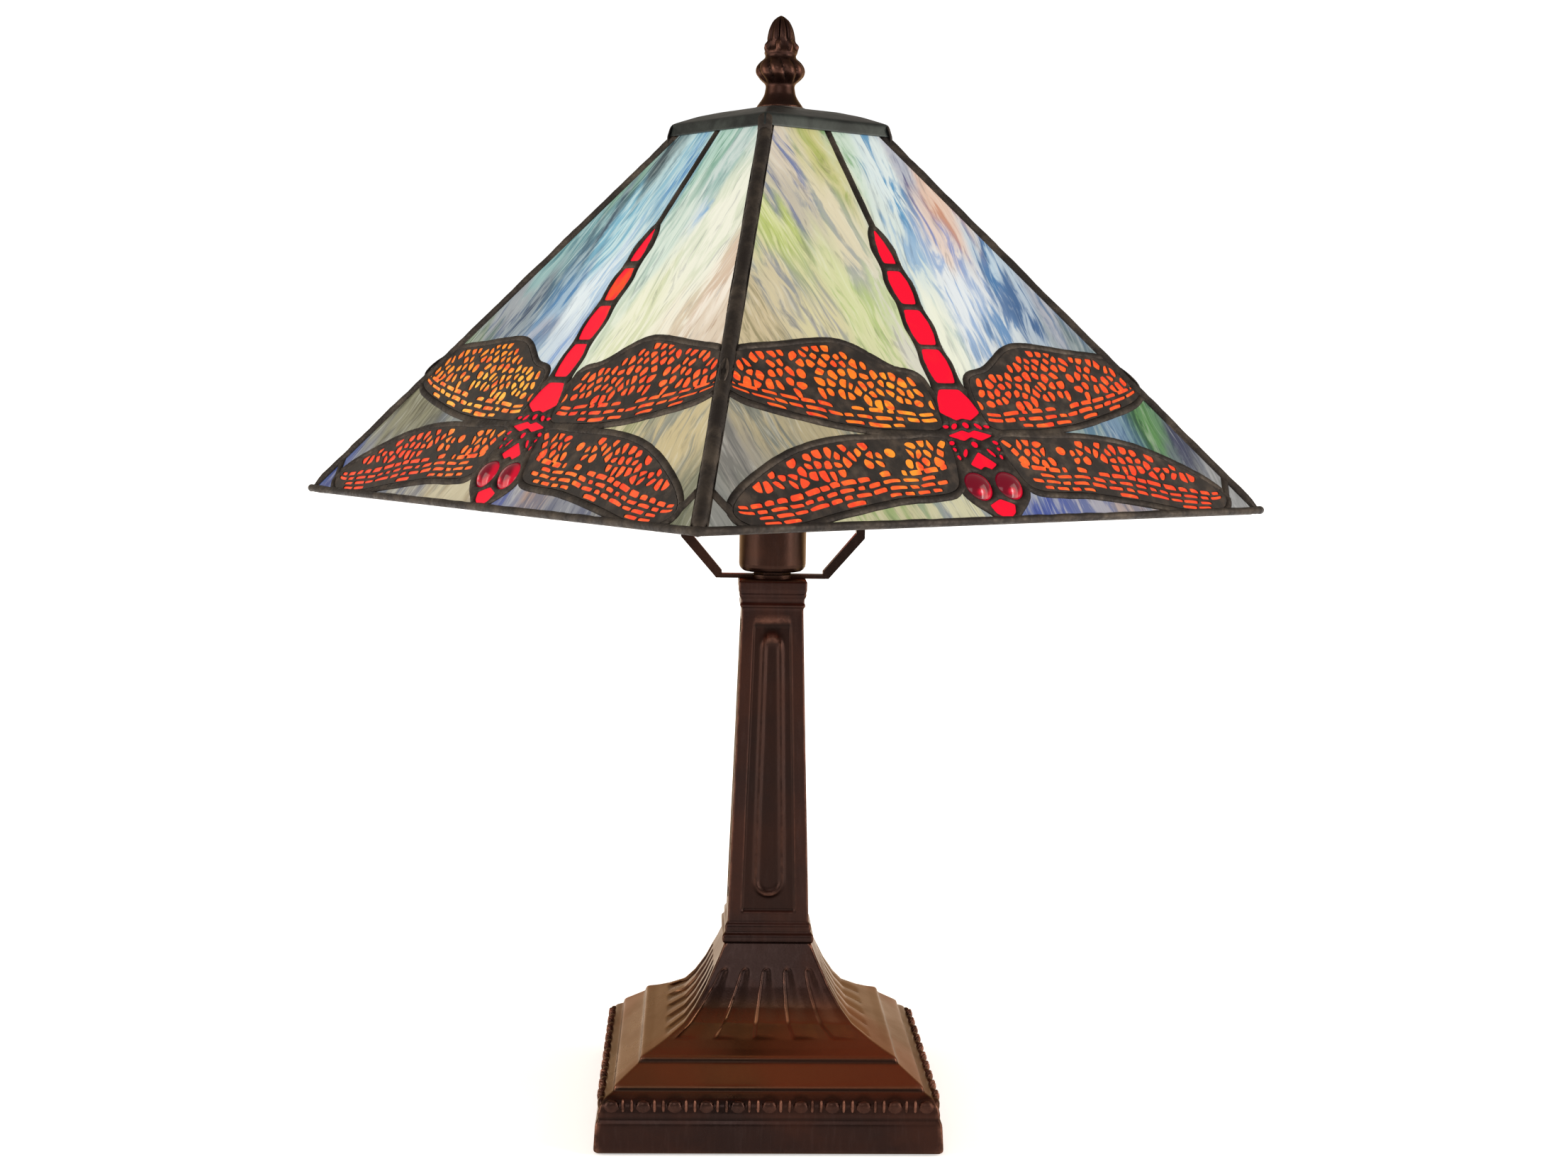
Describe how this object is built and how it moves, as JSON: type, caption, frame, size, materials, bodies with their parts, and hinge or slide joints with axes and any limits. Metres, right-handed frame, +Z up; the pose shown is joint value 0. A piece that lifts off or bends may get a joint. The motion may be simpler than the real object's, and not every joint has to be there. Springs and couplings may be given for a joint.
{
  "type": "table lamp",
  "caption": "Table lamp: stepped square bronze base, tapered square column, keyed socket with harp and bulb, and a four-sided leaded glass shade with winged insects, held by a finial.",
  "frame": {"origin": "middle of the base's underside, on the table", "axes": "+Z up through the column to the finial, -Y the front of the base, +X to the right"},
  "size_m": [0.4866, 0.4866, 0.559],
  "materials": {
    "bronze": "antique bronze over cast metal, satin, rubbed copper on the high spots",
    "felt": "short felt",
    "steel": "zinc plated",
    "iron": "raw casting",
    "plastic": "moulded black",
    "fibre": "vulcanised fibre",
    "phenolic": "moulded",
    "brass": "turned",
    "bulb_glass": "frosted",
    "bulb_metal": "rolled",
    "lead": "lead and solder with a dark patina",
    "cap_metal": "spun brass with a dark patina",
    "sky_glass": "opalescent, streaky",
    "wing_glass": "opalescent orange",
    "body_glass": "cathedral red",
    "eye_glass": "pressed dark red cabochon",
    "filigree": "etched sheet with a dark patina"
  },
  "bodies": {
    "stand": {"felt_pad": "felt", "bottom_plate": "steel", "base_weight": "iron", "base_shell": "bronze", "cord_bushing": "plastic", "bottom_washer": "steel", "bottom_nut": "brass", "lamp_pipe": "steel", "column": "bronze", "harp_saddle": "bronze", "saddle_nut": "steel", "socket_cup": "bronze", "socket_shell": "bronze", "socket_sleeve": "fibre", "socket_body": "phenolic", "socket_screw_shell": "brass", "socket_contact": "brass", "terminal_screws": "brass", "harp": "bronze", "harp_stud": "brass"},
    "shade": {"shade_cap": "cap_metal", "ridge_seams": "lead", "bottom_rim": "lead", "finial_washer": "cap_metal", "lead_1": "lead", "lead_2": "lead", "lead_3": "lead", "lead_4": "lead", "sky_glass_1": "sky_glass", "sky_glass_2": "sky_glass", "sky_glass_3": "sky_glass", "sky_glass_4": "sky_glass", "wing_glass_1": "wing_glass", "wing_glass_2": "wing_glass", "wing_glass_3": "wing_glass", "wing_glass_4": "wing_glass", "body_glass_1": "body_glass", "body_glass_2": "body_glass", "body_glass_3": "body_glass", "body_glass_4": "body_glass", "eyes_1": "eye_glass", "eyes_2": "eye_glass", "eyes_3": "eye_glass", "eyes_4": "eye_glass", "filigree_1": "filigree", "filigree_2": "filigree", "filigree_3": "filigree", "filigree_4": "filigree"},
    "finial_core": {"finial_insert": "brass"},
    "finial": {"finial": "bronze"},
    "bulb_core": {"bulb_insulator": "plastic", "bulb_tip": "bulb_metal"},
    "bulb": {"bulb_envelope": "bulb_glass", "bulb_screw_base": "bulb_metal", "bulb_mount": "bulb_glass"},
    "knob": {"switch_shaft": "brass", "switch_knob": "plastic"},
    "ferrule_left": {"ferrule_left": "bronze"},
    "ferrule_right": {"ferrule_right": "bronze"}
  },
  "joints": [
    {"name": "shade_swivel", "type": "hinge", "parent": "stand", "child": "shade", "pos_m": [0, 0, 0.5], "axis": [0, 0, 1], "continuous": true},
    {"name": "finial_lift", "type": "slide", "parent": "stand", "child": "finial_core", "axis": [0, 0, 1], "range_m": [0, 0.0094]},
    {"name": "finial_turn", "type": "hinge", "parent": "finial_core", "child": "finial", "pos_m": [0, 0, 0.53], "axis": [0, 0, 1], "range_deg": [0, 3600]},
    {"name": "bulb_lift", "type": "slide", "parent": "stand", "child": "bulb_core", "axis": [0, 0, 1], "range_m": [0, 0.026]},
    {"name": "bulb_turn", "type": "hinge", "parent": "bulb_core", "child": "bulb", "pos_m": [0, 0, 0.39], "axis": [0, 0, 1], "range_deg": [0, 2520]},
    {"name": "switch_turn", "type": "hinge", "parent": "stand", "child": "knob", "pos_m": [0, 0.03, 0.305], "axis": [0, 1, 0], "continuous": true},
    {"name": "ferrule_left_slide", "type": "slide", "parent": "stand", "child": "ferrule_left", "axis": [0, 0, 1], "range_m": [0, 0.014]},
    {"name": "ferrule_right_slide", "type": "slide", "parent": "stand", "child": "ferrule_right", "axis": [0, 0, 1], "range_m": [0, 0.014]}
  ],
  "couplings": [
    {"joint": "finial_turn", "follows": "finial_lift", "rad_per_m": 6666.7},
    {"joint": "bulb_lift", "follows": "bulb_turn", "m_per_rad": 0.000578}
  ]
}
